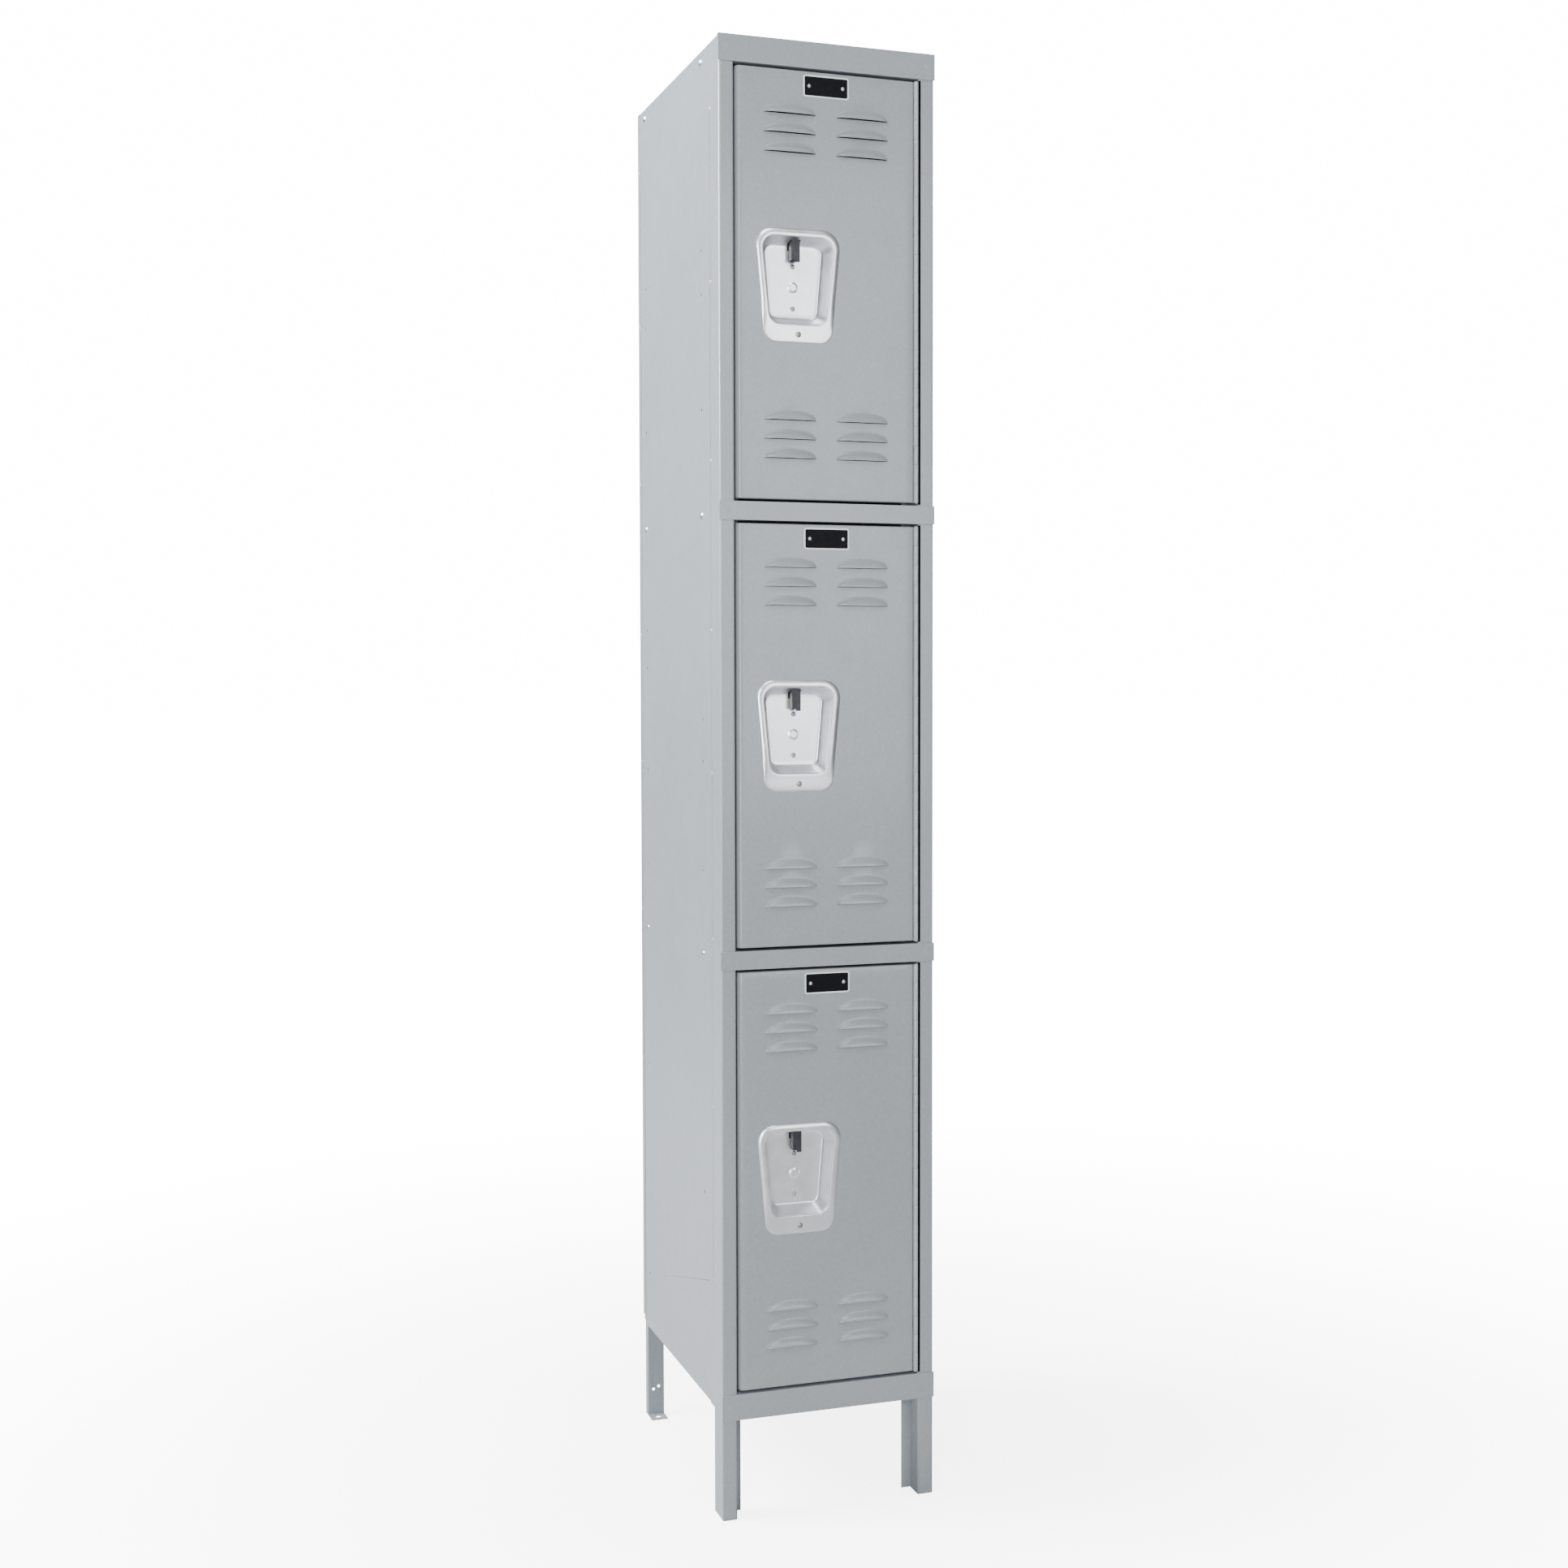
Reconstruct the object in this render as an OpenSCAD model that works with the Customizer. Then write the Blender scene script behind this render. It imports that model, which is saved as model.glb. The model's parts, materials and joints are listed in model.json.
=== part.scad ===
// Three-tier steel locker, one column wide, standing on four legs.
// Frame: X across the front, doors face -Y, Z up.
// Origin: centre of the footprint, on the floor. Units: millimetres.

/* [Cabinet] */
// Width over the ends of the cross rails
unit_w = 304.8; // [300:0.1:310]
// Depth from the front of the uprights to the outside of the back
unit_d = 457.2; // [450:0.1:610]
// Height from the floor to the top
unit_h = 1981.2; // [1980:0.1:1983]
// Height of the underside of the bottom rail
rail_bottom_z = 136.2; // [134:0.1:138]
// Height of the lower edge of the side panels
panel_bottom_z = 143; // [140:1:146]

/* [Front frame] */
// Sheet thickness of the frame and doors
frame_t = 1.5; // [1.4:0.1:1.6]
// Outer bend radius of the frame sheet
bend_r = 3; // [2.5:0.5:3.5]
// Face width of the left upright
face_left_w = 20.5; // [20:0.5:21]
// Face width of the right upright
face_right_w = 22.6; // [22:0.1:23]
// Depth of the uprights' outer side flange
flange_d = 62; // [60:1:70]
// Depth of the side flange below the side panel
leg_flange_d = 42; // [38:1:50]
// Setback of the door stop behind the frame's face
stop_y = 30.8; // [30:0.1:32]
// Width of the door stop
stop_w = 13; // [12:0.5:14]
// Height of the top rail and of the bottom rail
end_rail_h = 35; // [34:0.5:36]
// Height of the two middle rails
mid_rail_h = 25; // [24:0.5:26]

/* [Panels] */
// Sheet thickness of the sides and the back
panel_t = 0.9; // [0.8:0.1:1]
// Sheet thickness of the shelves, top and bottom
shelf_t = 1.2; // [1:0.1:1.2]
// Height of the shelf flanges
shelf_flange_h = 25; // [24:0.5:26]
// Depth of the back panel's side flanges
back_flange_d = 14; // [12:1:16]

/* [Doors] */
// Gap above and below each door
door_gap_z = 3.8; // [3.5:0.1:4]
// Gap between the left upright and each door
door_gap_x = 2.8; // [2.5:0.1:3]
// Depth of the door pan
door_d = 25; // [24:0.5:26]
// Outer radius of the door's free vertical edge
door_edge_r = 7; // [5:0.5:8]
// Width of the lips turned in along the back of the door
door_lip_w = 14; // [12:1:16]
// Length of each louvre
louvre_w = 73; // [70:1:76]
// Distance between neighbouring louvres
louvre_pitch = 25.4; // [25:0.1:26]
// How far the louvre hoods stand out
louvre_out = 5.5; // [5:0.1:6]

/* [Hinges] */
// Distance of the hinge axis from the cabinet's centre plane
hinge_x = 125.6; // [125.6:0.1:125.6]
// Radius of the hinge barrel
barrel_r = 3.2; // [3.2:0.1:3.2]
// Radius of the hinge pin
hinge_pin_r = 1.5; // [1.4:0.05:1.5]
// Radial running clearance between pin and knuckles
pin_clearance = 0.05; // [0.03:0.01:0.08]
// Knuckles along one door
knuckles = 22; // [18:2:26]

/* [Recessed handle] */
// Distance of the handle's centre from the cabinet's centre plane
cup_x = -42.6; // [-44:0.1:-40]
// Height of the handle's flange
cup_h = 150; // [148:1:152]
// Depth of the cup behind the door's face
cup_d = 25; // [24:0.5:26]
// Travel of the finger lift
lift_travel = 10; // [8:1:10]

/* [Hidden] */
$fn = 48;
eps = 0.01;
tiers = 3;

paint = [0.68, 0.71, 0.72];
stainless = [0.86, 0.87, 0.88];
zinc = [0.74, 0.76, 0.78];
dark_steel = [0.22, 0.24, 0.27];
plate_black = [0.03, 0.03, 0.04];
rubber_grey = [0.12, 0.12, 0.12];

// The louvre hoods are the foremost point, so the footprint is centred on them too.
front_y = louvre_out - (unit_d + louvre_out) / 2;
back_y = front_y + unit_d;

// Planes counted outwards from the cabinet's centre plane
upright_x = unit_w / 2 - 1;
panel_x = upright_x - frame_t;
tray_x = panel_x - panel_t;
jamb_left_x = face_left_w - upright_x;
jamb_right_x = upright_x - face_right_w;

// Door openings, counted from the top
open_h = (unit_h - rail_bottom_z - 2 * end_rail_h - (tiers - 1) * mid_rail_h) / tiers;
tier_pitch = open_h + mid_rail_h;
function open_z(i) = rail_bottom_z + end_rail_h + (tiers - i) * tier_pitch;

door_h = open_h - 2 * door_gap_z;
door_x0 = jamb_left_x + door_gap_x;
door_x1 = hinge_x - barrel_r;
door_mid_x = (door_x0 + door_x1) / 2;
function door_z(i) = open_z(i) + door_gap_z;
function door_mid_z(i) = door_z(i) + door_h / 2;

rivet_heights = [317, 554, 783, 1008, 1200, 1427, 1664, 1893];
rivet_y = 44;
rivet_shank_r = 1.8;
rivet_hole_r = 1.9;
panel_front_y = 8;
bolt_depths = [96, 416];
bolt_drop = 14;
bolt_r = 3;
front_hole_heights = [427, 872, 1022, 1079, 1500, 1656, 1715];
rear_hole_heights = [229, 551, 854, 998, 1150, 1206, 1502, 1656, 1715];
panel_hole_r = 2.2;
back_bottom_z = 156;
panel_notch_d = 16;

rear_leg_w = 25;
rear_leg_y = 441;
anchor_hole_r = 4.5;
foot_d = 25;

louvre_offset_x = 51;
louvre_hood_h = 13;
louvre_top_drop = 57.5;
louvre_bottom_rise = 55;

cup_flange_t = 1;
cup_rim_out = 3;
// Outlines of the cup: [half width at top, half width at bottom, top z, bottom z, top r, bottom r]
cup_flange = [58.7, 48.5, cup_h / 2, -cup_h / 2, 24, 18];
cup_bead = [54.2, 46.2, 70.5, -56.5, 21, 18];
cup_mouth = [49.5, 41.5, 66, -52, 18, 16];
cup_floor = [42, 35.5, 59, -42, 14, 12];

lift_w = 12;
lift_front_y = 10;
lift_back_y = 23;
lift_bottom_z = 36;
lift_top_z = 86;
bar_z = 70;
bar_h = 18;
bar_y = 20;
bar_t = 2;
bar_end_x = -118.5;
strike_x = -123.5;
strike_w = 4;
strike_gap = 2.5;
strike_drop = 18;
strike_notch_h = 32;
guide_x = -100;
guide_w = 10;

plate_w = 64;
plate_h = 29;
plate_t = 0.8;
plate_drop = 4.5;
plate_rivet_dx = 23.5;

// ---------- shared shapes ----------

// Box from its lowest corner to its highest corner, y counted from the frame's face
module span(lo, hi) {
    translate([lo[0], front_y + lo[1], lo[2]])
        cube([hi[0] - lo[0], hi[1] - lo[1], hi[2] - lo[2]]);
}

// Round bar along X, Y or Z; y counted from the frame's face
module rod(at, r, length, dir) {
    turn = dir == "x" ? [0, 90, 0] : dir == "y" ? [-90, 0, 0] : [0, 0, 0];
    translate([at[0], front_y + at[1], at[2]])
        rotate(turn)
            cylinder(r = r, h = length);
}

// Quarter of a sheet bend; the sheet's outer corner points to (-x, -y)
module bend(outer_r, t) {
    intersection() {
        difference() {
            circle(r = outer_r);
            circle(r = outer_r - t);
        }
        translate([-outer_r, -outer_r])
            square(outer_r);
    }
}

// Low domed head of a rivet, standing on z = 0
module dome(r, h) {
    ball_r = (r * r + h * h) / (2 * h);
    intersection() {
        translate([0, 0, h - ball_r])
            sphere(r = ball_r);
        cylinder(r = r + 1, h = h + 1);
    }
}

// ---------- front frame ----------

// Section of an upright: outer flange, face, jamb and door stop.
// The outer face is at x = 0 and the front face is at y = 0.
module upright_section(face_w) {
    translate([0, bend_r])
        square([frame_t, flange_d - bend_r]);
    translate([bend_r, bend_r])
        bend(bend_r, frame_t);
    translate([bend_r - eps, 0])
        square([face_w - 2 * bend_r + 2 * eps, frame_t]);
    translate([face_w - bend_r, bend_r])
        mirror([1, 0])
            bend(bend_r, frame_t);
    translate([face_w - frame_t, bend_r - eps])
        square([frame_t, stop_y + frame_t - bend_r + eps]);
    translate([face_w - frame_t, stop_y])
        square([stop_w + frame_t, frame_t]);
}

module upright(face_w) {
    difference() {
        linear_extrude(height = unit_h - frame_t)
            upright_section(face_w);
        translate([-1, leg_flange_d, -1])
            cube([frame_t + 2, flange_d, panel_bottom_z + 1]);
        for (z = rivet_heights)
            translate([-1, rivet_y, z])
                rotate([0, 90, 0])
                    cylinder(r = rivet_hole_r, h = frame_t + 2);
    }
}

module upright_left() {
    color(paint)
        translate([-upright_x, front_y, 0])
            upright(face_left_w);
}

// The right upright's inner edge is relieved along each hinge.
module upright_right() {
    relief_w = 3.6;
    relief_d = 5;
    color(paint)
        difference() {
            translate([upright_x, front_y, 0])
                mirror([1, 0, 0])
                    upright(face_right_w);
            for (i = [1 : tiers])
                span([jamb_right_x - 1, -1, open_z(i) + 1.5],
                     [jamb_right_x + relief_w, relief_d, open_z(i) + open_h - 1.5]);
        }
}

// Cross rail: a face lapped over both uprights, with flanges turned back between them
module cross_rail(z, h, lower_flange_d) {
    half_w = unit_w / 2;
    span([-half_w, -frame_t, z], [half_w, 0, z + h]);
    span([jamb_left_x, -eps, z + h - frame_t], [jamb_right_x, stop_y, z + h]);
    span([jamb_left_x, -eps, z], [jamb_right_x, lower_flange_d, z + frame_t]);
}

module top_rail() {
    color(paint) {
        cross_rail(unit_h - end_rail_h, end_rail_h, stop_y);
        span([-upright_x, -eps, unit_h - frame_t], [upright_x, panel_front_y, unit_h]);
        span([-tray_x, -eps, unit_h - frame_t], [tray_x, stop_y, unit_h]);
    }
}

module middle_rail(i) {
    color(paint)
        cross_rail(open_z(i) - mid_rail_h, mid_rail_h, stop_y);
}

module middle_rail_upper() {
    middle_rail(1);
}

module middle_rail_lower() {
    middle_rail(2);
}

module bottom_rail() {
    color(paint)
        cross_rail(rail_bottom_z, end_rail_h, 20);
}

// ---------- panels, shelves and legs ----------

// One side sheet, tucked inside the upright's flange; side is -1 or 1
module side_panel(side) {
    x = side < 0 ? -panel_x : tray_x;
    color(paint)
        difference() {
            span([x, panel_front_y, panel_bottom_z], [x + panel_t, unit_d - panel_t, unit_h]);
            span([x - 1, unit_d - panel_notch_d, 0], [x + 2, unit_d, back_bottom_z]);
            for (z = front_hole_heights)
                rod([x - 1, bolt_depths[0], z], panel_hole_r, 3, "x");
            for (z = rear_hole_heights)
                rod([x - 1, bolt_depths[1], z], panel_hole_r, 3, "x");
            for (y = bolt_depths, i = [0 : tiers - 1])
                rod([x - 1, y, bolt_z(i)], bolt_r, 3, "x");
            for (y = [rivet_y, unit_d - back_flange_d / 2], z = rivet_heights)
                rod([x - 1, y, z], rivet_hole_r, 3, "x");
        }
}

module back_panel() {
    outer_x = panel_x + panel_t;
    color(paint)
        difference() {
            union() {
                span([-outer_x, unit_d - panel_t, back_bottom_z], [outer_x, unit_d, unit_h]);
                for (x = [-outer_x, panel_x])
                    span([x, unit_d - back_flange_d, back_bottom_z],
                         [x + panel_t, unit_d - panel_t + eps, unit_h]);
            }
            for (x = [-outer_x - 1, panel_x - 1], z = rivet_heights)
                rod([x, unit_d - back_flange_d / 2, z], rivet_hole_r, 3, "x");
        }
}

// Sheet with its four edges turned down, notched round the door stops.
// Its top face is at z.
module tray(z, bolted) {
    low = z - shelf_flange_h;
    back = unit_d - panel_t;
    front = stop_y + frame_t;
    difference() {
        union() {
            span([-tray_x, stop_y, z - shelf_t], [tray_x, back, z]);
            for (x = [-tray_x, tray_x - shelf_t])
                span([x, front, low], [x + shelf_t, back, z - eps]);
            for (y = [front, back - shelf_t])
                span([-tray_x, y, low], [tray_x, y + shelf_t, z - eps]);
        }
        span([-tray_x - 1, stop_y - 1, low - 1], [jamb_left_x + stop_w, front, z + 1]);
        span([jamb_right_x - stop_w, stop_y - 1, low - 1], [tray_x + 1, front, z + 1]);
        if (bolted)
            for (x = [-tray_x - 1, tray_x - 2], y = bolt_depths)
                rod([x, y, z - bolt_drop], bolt_r, 3, "x");
    }
}

module top_panel() {
    color(paint)
        tray(unit_h, true);
}

module shelf_upper() {
    color(paint)
        tray(open_z(1), true);
}

module shelf_lower() {
    color(paint)
        tray(open_z(2), true);
}

module bottom_panel() {
    color(paint)
        difference() {
            tray(open_z(3), false);
            for (x = [-tray_x + shelf_t, tray_x - shelf_t - rear_leg_w])
                span([x, unit_d - 3, 0], [x + rear_leg_w, unit_d, open_z(3) - shelf_t]);
        }
}

// Angle leg at the back with a foot turned forward and an anchor hole; side is -1 or 1
module rear_leg(side) {
    outer = tray_x - shelf_t;
    inner = outer - rear_leg_w;
    mid = (outer + inner) / 2;
    top = open_z(3) - shelf_t;
    mirror([side < 0 ? 1 : 0, 0, 0])
        color(paint)
            difference() {
                union() {
                    span([inner, rear_leg_y, 0], [outer, rear_leg_y + frame_t, top]);
                    span([outer - frame_t, rear_leg_y, 0], [outer, unit_d - panel_t, top]);
                    span([inner, rear_leg_y - foot_d, 0], [outer, rear_leg_y + eps, frame_t]);
                }
                rod([mid, rear_leg_y - foot_d / 2, -1], anchor_hole_r, 4, "z");
                rod([mid - 4, rear_leg_y - 1, 44], 2.2, 4, "y");
                rod([mid + 4, rear_leg_y - 1, 40], 2.2, 4, "y");
            }
}

// ---------- fasteners and fittings of the cabinet ----------

// Height of the bolts in the top (0), the upper shelf (1) and the lower shelf (2)
function bolt_z(i) = (i == 0 ? unit_h : open_z(i)) - bolt_drop;

// Puts its children on the right side and their mirror image on the left side
module both_sides() {
    for (side = [0, 1])
        mirror([side, 0, 0])
            children();
}

// Rivet through two sheets: domed head outside, shank, and a flat tail inside.
// The head's seat is at x, and grip is the thickness of both sheets.
module side_rivet(x, y, z, grip) {
    tail_h = 0.8;
    translate([x, front_y + y, z])
        rotate([0, 90, 0]) {
            dome(3.4, 1.3);
            translate([0, 0, -grip - tail_h])
                cylinder(r = rivet_shank_r, h = grip + tail_h + eps);
            translate([0, 0, -grip - tail_h])
                cylinder(r = 2.6, h = tail_h);
        }
}

module frame_rivets() {
    color(paint)
        both_sides()
            for (z = rivet_heights)
                side_rivet(upright_x, rivet_y, z, frame_t + panel_t);
}

module back_rivets() {
    color(paint)
        both_sides()
            for (z = rivet_heights)
                side_rivet(panel_x + panel_t, unit_d - back_flange_d / 2, z, 2 * panel_t);
}

module shelf_bolts() {
    shank = panel_t + shelf_t + 5;
    color(zinc)
        both_sides()
            for (y = bolt_depths, i = [0 : tiers - 1])
                translate([panel_x, front_y + y, bolt_z(i)])
                    rotate([0, 90, 0]) {
                        dome(5.2, 2.4);
                        translate([0, 0, -shank])
                            cylinder(r = bolt_r - 0.1, h = shank + eps);
                    }
}

module shelf_nuts() {
    nut_h = 4;
    color(zinc)
        both_sides()
            for (y = bolt_depths, i = [0 : tiers - 1])
                translate([tray_x - shelf_t - nut_h, front_y + y, bolt_z(i)])
                    rotate([0, 90, 0])
                        difference() {
                            cylinder(r = 5.8, h = nut_h, $fn = 6);
                            translate([0, 0, -1])
                                cylinder(r = bolt_r, h = nut_h + 2);
                        }
}

// Double hook that hangs under the sheet whose lower face is at z
hook_plate_w = 16;
hook_plate_d = 44;
hook_plate_t = 2;
module coat_hook(z) {
    rod_r = 2.5;
    curl_r = 13;
    stem = 26;
    y = front_y + unit_d / 2 + 40;
    translate([-hook_plate_w / 2, y - hook_plate_d / 2, z - hook_plate_t])
        cube([hook_plate_w, hook_plate_d, hook_plate_t]);
    for (turn = [0, 180])
        translate([0, y, z - hook_plate_t - stem])
            rotate([0, 0, turn]) {
                cylinder(r = rod_r, h = stem + eps);
                translate([0, curl_r, 0])
                    rotate([0, 90, 0])
                        rotate([0, 0, -90])
                            rotate_extrude(angle = 180)
                                translate([curl_r, 0])
                                    circle(r = rod_r);
                translate([0, 2 * curl_r, 0])
                    sphere(r = rod_r + 0.8);
            }
}

module coat_hooks() {
    color(zinc)
        for (i = [0 : tiers - 1])
            coat_hook((i == 0 ? unit_h : open_z(i)) - shelf_t);
}

// Two rivets hold each hook's plate to the sheet above it.
module hook_rivets() {
    color(zinc)
        for (i = [0 : tiers - 1], dy = [-16, 16])
            translate([0, front_y + unit_d / 2 + 40 + dy,
                       (i == 0 ? unit_h : open_z(i)) - shelf_t - hook_plate_t])
                mirror([0, 0, 1])
                    dome(3.6, 1.6);
}

// Hook on the left door stop, one behind each latch bar
module latch_strikes() {
    color(zinc)
        for (i = [1 : tiers])
            translate([strike_x, front_y, door_mid_z(i) + bar_z])
                rotate([90, 0, 90])
                    linear_extrude(height = strike_w)
                        polygon([
                            [stop_y, -14], [stop_y, 5], [24, 5], [24, -4],
                            [19, -4], [19, 9], [15, 5], [15, -9], [20, -14]
                        ]);
}

// Rubber buttons on the left door stop, where the closed door comes to rest
module door_silencers() {
    length = stop_y - door_d - 0.3;
    color(rubber_grey)
        for (i = [1 : tiers], z = [60, door_h - 60])
            rod([jamb_left_x + 8, stop_y - length, door_z(i) + z], 4, length, "y");
}

// ---------- hinges ----------

knuckle_pitch = door_h / knuckles;
knuckle_gap = 0.3;
leaf_t = 1.5;
leaf_d = 22;
leaf_start = barrel_r + 0.4;

// One leaf with every second knuckle; side is -1 for the door leaf and 1 for the
// frame leaf, and first is the number of its lowest knuckle.
module hinge_leaf(i, side, first) {
    x = side < 0 ? hinge_x - barrel_r : hinge_x + barrel_r - leaf_t;
    z0 = door_z(i);
    color(paint)
        difference() {
            union() {
                span([x, leaf_start, z0], [x + leaf_t, leaf_d, z0 + door_h]);
                for (k = [first : 2 : knuckles - 1]) {
                    low = z0 + k * knuckle_pitch + knuckle_gap / 2;
                    high = low + knuckle_pitch - knuckle_gap;
                    rod([hinge_x, 0, low], barrel_r, high - low, "z");
                    span([x, 0, low], [x + leaf_t, leaf_start + eps, high]);
                }
            }
            rod([hinge_x, 0, z0 - 1], hinge_pin_r + pin_clearance, door_h + 2, "z");
        }
}

module frame_hinge_leaf(i) {
    hinge_leaf(i, 1, 0);
}

module door_hinge_leaf(i) {
    hinge_leaf(i, -1, 1);
}

module hinge_pin(i) {
    color(zinc)
        rod([hinge_x, 0, door_z(i) - 0.6], hinge_pin_r, door_h + 1.2, "z");
}

// ---------- doors ----------

// Outline of the door pan seen from above, drawn inset by the given amount
module door_outline(inset) {
    left = door_x0 + inset;
    right = door_x1 - inset;
    edge_r = door_edge_r - inset;
    hinge_r = bend_r - inset;
    translate([left + edge_r, inset])
        square([right - left - edge_r - hinge_r, door_d - inset]);
    translate([left, inset + edge_r])
        square([edge_r + eps, door_d - inset - edge_r]);
    translate([right - hinge_r - eps, inset + hinge_r])
        square([hinge_r + eps, door_d - inset - hinge_r]);
    translate([left + edge_r, inset + edge_r])
        circle(r = edge_r);
    translate([right - hinge_r, inset + hinge_r])
        circle(r = hinge_r);
}

// Outer wedge of a louvre hood, its lower edge at z = 0 and the door's face at y = 0
module louvre_wedge(length, out, height) {
    translate([-length / 2, 0, 0])
        rotate([90, 0, 90])
            linear_extrude(height = length)
                polygon([[frame_t, 0], [-out, 0], [-out, 0.8], [0, height], [frame_t, height]]);
}

// Positions of a door's louvres as [x, z] from the door's bottom
louvre_spots = [
    for (x = [-louvre_offset_x, louvre_offset_x], k = [0 : 2], group = [0, 1])
        [door_mid_x + x, (group == 0 ? louvre_bottom_rise : door_h - louvre_top_drop
            - 2 * louvre_pitch) + k * louvre_pitch]
];

module door_panel(i) {
    t = frame_t;
    hood_t = 1;
    z0 = door_z(i);
    color(paint)
        translate([0, front_y, 0])
            difference() {
                union() {
                    translate([0, 0, z0])
                        linear_extrude(height = door_h)
                            door_outline(0);
                    for (p = louvre_spots)
                        translate([p[0], 0, z0 + p[1]])
                            louvre_wedge(louvre_w, louvre_out, louvre_hood_h);
                }
                translate([0, 0, z0 + t])
                    linear_extrude(height = door_h - 2 * t)
                        intersection() {
                            door_outline(t);
                            translate([door_x0, 0])
                                square([door_x1 - door_x0, door_d - t]);
                        }
                translate([door_x0 + t + door_lip_w, t, z0 + t + door_lip_w])
                    cube([door_x1 - door_x0 - 2 * (t + door_lip_w), door_d,
                          door_h - 2 * (t + door_lip_w)]);
                for (p = louvre_spots)
                    translate([p[0], 0, z0 + p[1] - eps])
                        louvre_wedge(louvre_w - 2 * hood_t, louvre_out - hood_t,
                                     louvre_hood_h - 2 * hood_t);
                translate([cup_x, 0, door_mid_z(i)])
                    cup_cutout();
                translate([cup_x, -1, door_mid_z(i) + cup_screw_z])
                    rotate([-90, 0, 0])
                        cylinder(r = 2.4, h = 4);
                translate([strike_x - strike_gap, door_d - 2 * t, door_mid_z(i) + bar_z - strike_drop])
                    cube([strike_w + 2 * strike_gap, 3 * t, strike_notch_h]);
            }
}

// Hole in the door's face that the cup passes through
module cup_cutout() {
    top = cup_mouth[0] + 2;
    low = cup_mouth[1] + 2;
    rotate([90, 0, 0])
        translate([0, 0, -3])
            linear_extrude(height = 6)
                polygon([[-low, -54], [low, -54], [top, 68], [-top, 68]]);
}

// ---------- recessed handles ----------

cup_screw_z = -64.5;
back_screw_z = [29, -27];
plug_z = 1.5;
plug_r = 7.5;

// Four corner discs of a round-cornered trapezoid whose front face is at y
module cup_corners(shape, grow, y, t) {
    translate([0, y + t, 0])
        rotate([90, 0, 0])
            for (s = [-1, 1]) {
                translate([s * (shape[0] - shape[4]), shape[2] - shape[4], 0])
                    cylinder(r = shape[4] + grow, h = t);
                translate([s * (shape[1] - shape[5]), shape[3] + shape[5], 0])
                    cylinder(r = shape[5] + grow, h = t);
            }
}

module cup_slab(shape, y, t) {
    hull()
        cup_corners(shape, 0, y, t);
}

// Solid that tapers from the mouth to the floor of the cup, grown by the given amount
module cup_body(grow, front, depth) {
    hull() {
        cup_corners(cup_mouth, grow, front, 0.1);
        cup_corners(cup_floor, grow, depth - 0.1, 0.1);
    }
}

module recess_cup(i) {
    t = cup_flange_t;
    slot_half_w = lift_w / 2 + 1.5;
    color(stainless)
        translate([cup_x, front_y, door_mid_z(i)])
            difference() {
                union() {
                    cup_slab(cup_flange, -t, t);
                    cup_slab(cup_bead, -cup_rim_out, cup_rim_out);
                    cup_body(t, 0, cup_d);
                }
                cup_body(0, -cup_rim_out - 0.1, cup_d - t);
                translate([-slot_half_w, lift_front_y - 1.5, cup_floor[2] - 8])
                    cube([2 * slot_half_w, cup_d, 30]);
                for (z = [cup_screw_z, back_screw_z[0], back_screw_z[1]])
                    translate([0, -5, z])
                        rotate([-90, 0, 0])
                            cylinder(r = 2.2, h = 40);
                translate([0, cup_d - 5, plug_z])
                    rotate([-90, 0, 0])
                        cylinder(r = plug_r - 1.5, h = 10);
            }
}

// Pan-head screw whose head seats at y and whose shank runs back from it
module pan_screw(y, z, head_r, shank) {
    translate([0, y, z])
        rotate([90, 0, 0])
            difference() {
                union() {
                    dome(head_r, 1.8);
                    translate([0, 0, -shank])
                        cylinder(r = 2, h = shank + eps);
                }
                translate([-head_r, -0.4, 1.1])
                    cube([2 * head_r, 0.8, 2]);
            }
}

module cup_screws(i) {
    floor_y = cup_d - cup_flange_t;
    color(zinc)
        translate([cup_x, front_y, door_mid_z(i)]) {
            pan_screw(-cup_flange_t, cup_screw_z, 4.4, 6);
            for (z = back_screw_z)
                pan_screw(floor_y, z, 3.4, 4);
        }
}

module lock_hole_plug(i) {
    floor_y = cup_d - cup_flange_t;
    color(stainless)
        translate([cup_x, front_y + floor_y, door_mid_z(i) + plug_z])
            rotate([90, 0, 0]) {
                difference() {
                    dome(plug_r, 1.6);
                    translate([0, 0, 1])
                        cylinder(r = 4.6, h = 2);
                }
                translate([0, 0, -4])
                    cylinder(r = plug_r - 1.6, h = 4 + eps);
            }
}

// Channel-shaped lift that hangs through the top of the cup
module finger_lift(i) {
    t = 1.2;
    height = lift_top_z - lift_bottom_z;
    color(dark_steel)
        translate([cup_x - lift_w / 2, front_y + lift_front_y, door_mid_z(i) + lift_bottom_z]) {
            difference() {
                cube([lift_w, lift_back_y - lift_front_y, height]);
                translate([t, t, -1])
                    cube([lift_w - 2 * t, lift_back_y, height + 2]);
                translate([-1, bar_y - lift_front_y, bar_z - lift_bottom_z - eps])
                    cube([lift_w + 2, lift_back_y, height]);
            }
            translate([lift_w * 0.45, 0, -2.6])
                cube([lift_w * 0.55, t, 2.6 + eps]);
        }
}

// Flat bar that carries the finger lift and reaches to the strike
module latch_bar(i) {
    z0 = door_mid_z(i) + bar_z;
    bar_right_x = cup_x + 16;
    hang_y = lift_front_y + 1.2;
    color(dark_steel) {
        span([bar_end_x, bar_y, z0], [bar_right_x, bar_y + bar_t, z0 + bar_h]);
        span([bar_end_x, bar_y, z0 - 6], [bar_end_x + 10, bar_y + bar_t, z0 + eps]);
        span([cup_x - lift_w / 2 + 1.2, hang_y, z0 + 4],
             [cup_x + lift_w / 2 - 1.2, bar_y + eps, z0 + 10]);
    }
}

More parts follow.
